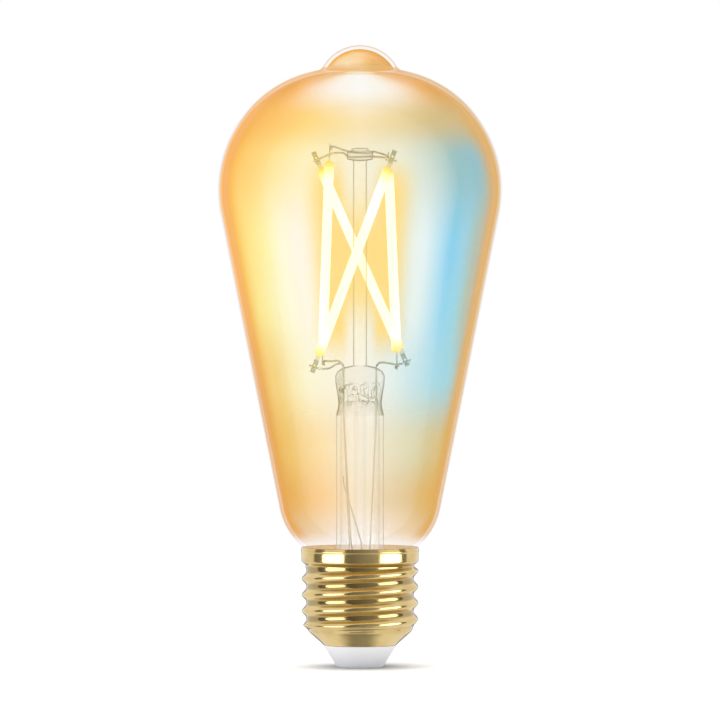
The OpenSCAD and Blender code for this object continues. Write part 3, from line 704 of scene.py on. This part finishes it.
def weld(i, s, way):
    """Two points on the inner face of filament i's tab, s along its axis, passed in direction way."""
    at = FEET[i] + s * filament_axis(i) + (TAB_T + WIRE_D) / 2 * INWARD[i]
    return [at - way * WELD_OVERHANG * tab_side(i), at + way * WELD_OVERHANG * tab_side(i)]


def button_pass(angle, level, reach=3.6):
    """The straight stretch of a bridge wire through the button."""
    c, s = math.cos(math.radians(angle)), math.sin(math.radians(angle))
    return [(-reach * c, -reach * s, level), (reach * c, reach * s, level)]


def wires():
    """Leads, bridge wires, aerial and shell wire, as round wire bent through listed points."""
    routes = {
        "lead_warm": [(-2.6, .8, 21.2), (-2.6, .8, 24.4), (-2.4, .9, 27.7), (-3.7, .9, 57), (-3.7, .9, 66.5),
                      (-3.7, .9, 67.8), (-4.1, 1.4, 68.4), (-5, 3.2, 69), (-6.6, 6, 68.8), *weld(0, .4, 1)],
        "lead_cool": [(-1.3, .8, 21.2), (-1.3, .8, 24.4), (-2, .2, 27.7), (-3.7, -.9, 57), (-3.7, -.9, 66.5),
                      (-3.7, -.9, 67.8), (-4.2, -1.3, 68.4), (-5.4, -2.6, 68.2), (-6.8, -4.4, 67.2),
                      *weld(1, 1.3, -1)],
        "lead_common": [(2, .8, 21.2), (2, .8, 24.4), (2.3, .6, 27.7), (3.7, 0, 57), (3.7, 0, 66.5),
                        (3.7, 0, 67.8), (4.3, -.7, 68.5), (5.3, -2.4, 68.6), *weld(3, .6, 1),
                        (8.6, -4, 67.8), (8.8, 3.5, 68.3), *weld(2, .9, -1)],
        "bridge_wire_warm": [*weld(0, FILAMENT_L - .8, -1), *button_pass(54, 115.75), (3, 4.1, 116.3),
                             *weld(3, FILAMENT_L - 1.2, 1)],
        "bridge_wire_cool": [*weld(2, FILAMENT_L - 2, 1), (-6.2, 5.2, 116), (-3.6, 3.2, 115.9),
                             *button_pass(-42, 114.85), *weld(1, FILAMENT_L - 2.2, 1)],
        "antenna_wire": [(.3, -1.3, 22.9), (.3, -1.6, 25), (.4, -1.9, 27.7), (-3.6, -1.2, 41), (-3.8, -1, 43)],
        "shell_wire": [(-9.7, -.8, 16.2), (-9.7, -.9, 18.2), (-10, -1, 19.05), (-11.5, -1.2, 19.05)],
    }
    metal = turned_metal("nickel_wire", (0.46, 0.455, 0.42), (0.62, 0.61, 0.57), 0.34, 3.0)
    for name, route in routes.items():
        run = spaced(eased(route, WIRE_BEND, 7), 1.5)
        radius = WIRE_D / 2 - 0.05 * np.clip((57 - run[:, 2]) / 3, 0, 1)
        piece("wire_" + name, [sweep(run, radius, 14)], [metal], [name])


def coats():
    """Round-ended phosphor coats, radius r sqrt(1 - (1 - s/e)^2) over the last e of each end."""
    glow = lit_phosphor()
    length = COAT_TO - COAT_FROM
    s = np.concatenate([COAT_END * (1 - np.cos(np.linspace(0.05, math.pi / 2, 7))),
                        np.linspace(COAT_END, length - COAT_END, 48)[1:-1],
                        length - COAT_END * (1 - np.cos(np.linspace(math.pi / 2, 0.05, 7)))])
    near = np.clip(np.minimum(s, length - s) / COAT_END, 0, 1)
    radius = COAT_R * np.sqrt(1 - (1 - near) ** 2)
    for i in range(4):
        line = FEET[i] + (COAT_FROM + s)[:, None] * filament_axis(i)
        along = np.repeat(np.concatenate([[0], s / length, [1]]), 28)
        piece(f"coat_{i + 1}", [sweep(line, radius, 28)], [glow], [f"filament_{i + 1}_coat"],
              along=along)


def screw_shell():
    """Sheet brass shell: rounded outline (r, z) with the rolled thread added to it, rise (1 + cos(360 z / pitch - a))/2 to a power, eased in and out."""
    outside = spaced(eased(SHELL_OUTLINE, [.3, 1.1, .25, .35, .2, .1, .05, .04]), 0.11)
    inside = eased(SHELL_BORE, 0.25)
    sides = 180
    skin = lathe(np.vstack([outside, inside, outside[:1]]), sides)
    z = outside[:, 1:]
    a = np.arange(sides)[None] * 360 / sides
    wave = (1 + np.cos(np.radians(360 * (z - THREAD_START_Z) / THREAD_PITCH - a))) / 2
    from_end = np.clip(np.minimum(z - THREAD_FROM, THREAD_TO - z) / THREAD_RUN, 0, 1)
    grown = from_end * from_end * (3 - 2 * from_end)
    rise = THREAD_RISE * wave ** THREAD_SHARPNESS * grown
    round_ = turn(a[0])
    skin[:len(outside), :, :2] += rise[..., None] * round_[None]
    return piece("shell", [skin], [brass()], ["screw_shell"])


def insulator():
    """Moulded cone with a rounded foot, a recess for the contact and a flange inside the shell."""
    line = eased(INSULATOR_OUTLINE, [.1, .1, .35, .05, .02, .15, .3, .1, .1])
    finish = moulded("insulator", linear((.945, .95, .97)), linear((.955, .96, .975)), 0.3, 0.12, 0.02)
    return piece("insulator_cone", [lathe(line, 128)], [finish], ["insulator"])


def contact():
    """Brass disc with a domed edge, and the rivet that holds it."""
    line = eased([(0, 0), (4.4, 0), (4.4, .9), (1.3, .9), (1.3, 7.85), (2, 7.85), (2, 8.3), (0, 8.3)],
                 [.35, .1, .1, .05, .1, .2])
    finish = turned_metal("contact_brass", (0.50, 0.34, 0.12), (0.70, 0.50, 0.20), 0.22)
    return piece("contact_disc", [lathe(line, 96)], [finish], ["centre_contact"])


def finish_cad_parts():
    """Finishes of the parts whose CAD shape stays."""
    finishes = {
        "strip": moulded("strip_ceramic", (0.78, 0.75, 0.66), (0.88, 0.86, 0.80), 0.4, 2.5),
        "chips": moulded("led_chip", (0.75, 0.58, 0.10), (0.90, 0.72, 0.18), 0.3, 3.0),
        "tabs": turned_metal("tab_metal", (0.62, 0.62, 0.62), (0.76, 0.76, 0.76), 0.42, 2.5),
        "neck_cement": moulded("cement", (0.90, 0.88, 0.83), (0.96, 0.94, 0.90), 0.8, 1.2, 0.4),
        "driver_sleeve": moulded("sleeve", (0.80, 0.80, 0.78), (0.88, 0.88, 0.86), 0.35, 0.6, 0.05),
        "driver_board": circuit_board("board", (0.02, 0.11, 0.04), (0.06, 0.24, 0.09), 0.35),
        "wifi_board": circuit_board("radio_board", (0.01, 0.03, 0.09), (0.03, 0.09, 0.20), 0.8),
        "solder_pads": turned_metal("solder", (0.50, 0.50, 0.50), (0.70, 0.70, 0.70), 0.25, 1.5, 0.3),
        "wifi_shield": turned_metal("shield", (0.55, 0.55, 0.54), (0.68, 0.68, 0.67), 0.3, 0.8),
        "smoothing_capacitor": moulded("capacitor_can", (0.02, 0.02, 0.025), (0.05, 0.05, 0.06), 0.3, 0.7, 0.05),
        "inductor_core": moulded("ferrite", (0.02, 0.02, 0.02), (0.05, 0.048, 0.045), 0.6, 3.0, 0.3),
        "inductor_coil": wound_copper(),
        "bridge_rectifier": moulded("chip_black", (0.012, 0.012, 0.013), (0.03, 0.03, 0.032), 0.5, 4.0),
        "film_capacitor": moulded("film_capacitor", (0.45, 0.13, 0.02), (0.60, 0.20, 0.04), 0.3, 0.8, 0.1, 0.3),
        "fuse_resistor": moulded("fuse_resistor", (0.05, 0.14, 0.26), (0.10, 0.22, 0.36), 0.4, 1.4, 0.2),
    }
    finishes["driver_chip"] = finishes["dimming_transistors"] = finishes["bridge_rectifier"]
    for name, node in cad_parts.items():
        key = name.split("_")[-1] if name.startswith("filament_") else name
        if key in finishes:
            for slot in node.material_slots:
                slot.material = finishes[key]


# ---- Studio ------------------------------------------------------------------------------------
def stage_mesh(name, grid, finish, **seen):
    """A sheet of the studio from a grid of points in metres."""
    rows, columns = grid.shape[:2]
    i, k = np.arange(rows - 1)[:, None] * columns, np.arange(columns - 1)[None]
    faces = np.stack(np.broadcast_arrays(i + k, i + k + 1, i + columns + k + 1, i + columns + k), -1).reshape(-1, 4)
    mesh = bpy.data.meshes.new(name)
    mesh.from_pydata(grid.reshape(-1, 3).tolist(), [], faces.tolist())
    mesh.materials.append(finish)
    mesh.update()
    thing = bpy.data.objects.new(name, mesh)
    bpy.context.scene.collection.objects.link(thing)
    for key, value in seen.items():
        setattr(thing, key, value)
    return thing


def floor():
    """Pale floor, brought up to white by a little light of its own, that keeps the bulb's shadow, with a painted
    contact shadow under the bulb's foot.
    """
    f = Finish("floor")
    at, x, y, z = f.place()
    tone = f.noise(at, 0.01)
    reach = (x * x + y * y) ** 0.5
    # Painted contact shadow: within about 23 mm of the middle the floor gives off less light of its own, and within
    # about 16 mm its colour is darker.
    floor_light_and_painted_shadow = reach.ramp(4.0, 23.0) * reach.ramp(80.0, 400.0, 1.0, 0.674)
    shader = f.principled(Base_Color=f.blend(reach.ramp(3.0, 16.0), (0.40, 0.42, 0.45), f.blend(tone, (0.86, 0.86, 0.87), (0.88, 0.88, 0.88))), Roughness=0.9,
                          Specular_IOR_Level=0.0, Emission_Color=f.blend(floor_light_and_painted_shadow, (0.03, 0.03, 0.035), (0.50, 0.50, 0.51)),
                         Emission_Strength=1.0)
    u = np.linspace(-4, 4, 3)
    grid = np.stack([*np.meshgrid(u, u + 1.0), np.zeros((3, 3))], -1)
    stage_mesh("floor", grid, f.done(shader), visible_glossy=False)


def card(name, start, end, low, high, left, right, oval=False, distance=0.6):
    """An upright curved reflector, seen only in gloss: azimuth from the camera's side, shade from left to right."""
    f = Finish(name)
    at, x, y, z = f.place()
    angle = f.add("ShaderNodeMath", {"operation": "ARCTAN2"}, {0: x, 1: y * -1.0})
    shade = f.add("ShaderNodeMapRange", None,
                  {0: angle, 1: math.radians(start), 2: math.radians(end), 3: left, 4: right})
    first = f.add("ShaderNodeMath", {"operation": "LESS_THAN"},
                  {0: f.add("ShaderNodeLightPath", out="Glossy Depth"), 1: 1.5})
    shade = 0.7 + (shade - 0.7) * first
    if oval:
        over = (angle - math.radians((start + end) / 2)) / math.radians((end - start) / 2)
        up = (z - 500 * (low + high)) / (500 * (high - low))
        shade = 1.0 + (shade - 1.0) * (over ** 2 * over ** 2 * over ** 2 + up * up).ramp(1.0, 0.9)
    glow = f.add("ShaderNodeEmission", None, {"Color": (1, 1, 1), "Strength": shade})
    a = np.radians(np.linspace(start, end, 13))
    ring = np.stack([distance * np.sin(a), -distance * np.cos(a), np.zeros(13)], -1)
    grid = np.stack([ring + (0, 0, low), ring + (0, 0, high)])
    stage_mesh(name, grid, f.done(glow), visible_camera=False, visible_diffuse=False, visible_shadow=False,
               visible_transmission=False)


def reflectors():
    """White and dark cards that draw the windows and edges in the brass."""
    card("dark_left", -102, -78, -0.3, 0.34, 0.24, 0.24)
    card("soft_left", -78, -32, -0.32, 0.26, 4.6, 4.6, oval=True)
    card("front", -32, 40, -1.2, 1.5, 0.16, 0.46)
    card("soft_right", 40, 88, -0.32, 0.26, 4.6, 4.6, oval=True)
    card("dark_right", 88, 104, -0.3, 0.34, 0.24, 0.24)
    card("dark_back", 163, 197, -0.4, 0.4, 0.4, 0.4)
    f = Finish("under")
    at, x, y, z = f.place()
    shade = ((x * x + y * y) ** 0.5).ramp(60.0, 190.0, 0.34, 1.0)
    glow = f.add("ShaderNodeEmission", None, {"Color": (1, 1, 1), "Strength": shade})
    u = np.linspace(-0.2, 0.2, 3)
    grid = np.stack([*np.meshgrid(u, u), np.full((3, 3), -0.31)], -1)
    stage_mesh("under", grid, f.done(glow), visible_camera=False, visible_diffuse=False, visible_shadow=False,
               visible_transmission=False)


def key_light():
    """One soft lamp, above and to the left."""
    lamp = bpy.data.lights.new("key", "AREA")
    lamp.shape = "DISK"
    lamp.size = 0.9
    lamp.energy = 4.5
    thing = bpy.data.objects.new("key", lamp)
    thing.location = (-0.9, -0.7, 0.9)
    thing.rotation_euler = (math.radians(51), 0, math.radians(-52))
    thing.visible_glossy = False
    bpy.context.scene.collection.objects.link(thing)


def studio_world():
    """White to the camera and in reflections, and a plain soft light on everything else."""
    world = bpy.data.worlds.new("studio")
    bpy.context.scene.world = world
    world.use_nodes = True
    tree = world.node_tree
    tree.nodes.clear()
    path = tree.nodes.new("ShaderNodeLightPath")
    seen = tree.nodes.new("ShaderNodeMath")
    seen.operation = "MAXIMUM"
    tree.links.new(path.outputs["Is Camera Ray"], seen.inputs[0])
    tree.links.new(path.outputs["Is Glossy Ray"], seen.inputs[1])
    through = tree.nodes.new("ShaderNodeMath")
    through.operation = "MAXIMUM"
    tree.links.new(seen.outputs[0], through.inputs[0])
    tree.links.new(path.outputs["Is Transmission Ray"], through.inputs[1])
    strength = tree.nodes.new("ShaderNodeMapRange")
    strength.inputs[3].default_value = 0.75
    strength.inputs[4].default_value = 1.0
    tree.links.new(through.outputs[0], strength.inputs[0])
    sky = tree.nodes.new("ShaderNodeBackground")
    sky.inputs["Color"].default_value = (1, 1, 1, 1)
    tree.links.new(strength.outputs[0], sky.inputs["Strength"])
    out = tree.nodes.new("ShaderNodeOutputWorld")
    tree.links.new(sky.outputs[0], out.inputs["Surface"])


def camera():
    """Level camera with a long lens, a metre in front of the bulb's middle."""
    lens = bpy.data.cameras.new("camera")
    lens.lens = 222.0
    lens.sensor_width = 36.0
    lens.clip_start = 0.05
    thing = bpy.data.objects.new("camera", lens)
    thing.location = (0.0, -1.0, 0.0691)
    thing.rotation_euler = (math.radians(90), 0, 0)
    bpy.context.scene.collection.objects.link(thing)
    bpy.context.scene.camera = thing


def view_settings():
    scene = bpy.context.scene
    scene.view_settings.view_transform = "Standard"
    scene.cycles.transparent_max_bounces = 48


camera()
view_settings()
studio_world()
key_light()
floor()
reflectors()
glass_envelope()
stem()
exhaust_tube()
rod()
button()
wires()
coats()
screw_shell()
insulator()
contact()
finish_cad_parts()
